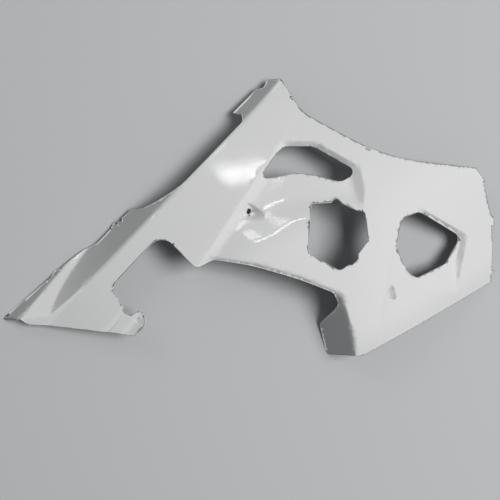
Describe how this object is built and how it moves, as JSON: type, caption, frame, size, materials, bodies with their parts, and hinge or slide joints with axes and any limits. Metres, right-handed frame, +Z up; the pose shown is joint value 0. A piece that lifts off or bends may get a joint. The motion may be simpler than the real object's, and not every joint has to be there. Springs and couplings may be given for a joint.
{
  "type": "motorcycle fairing",
  "caption": "Left-hand mid and lower fairing of a sport motorcycle: a thin glossy white moulded shell with a folded belly, recessed vents, an engine bay opening and screw tabs.",
  "frame": {"origin": "centre of the bounding box, on the bench that the panel lies on", "axes": "+X along the panel from the tail of the belly to the upper fairing joint, +Y towards the front wheel, +Z up, out of the outer face"},
  "size_m": [0.9759, 0.5442, 0.1231],
  "materials": {
    "panel": "gloss"
  },
  "bodies": {
    "root": {"panel": "panel"}
  },
  "joints": []
}
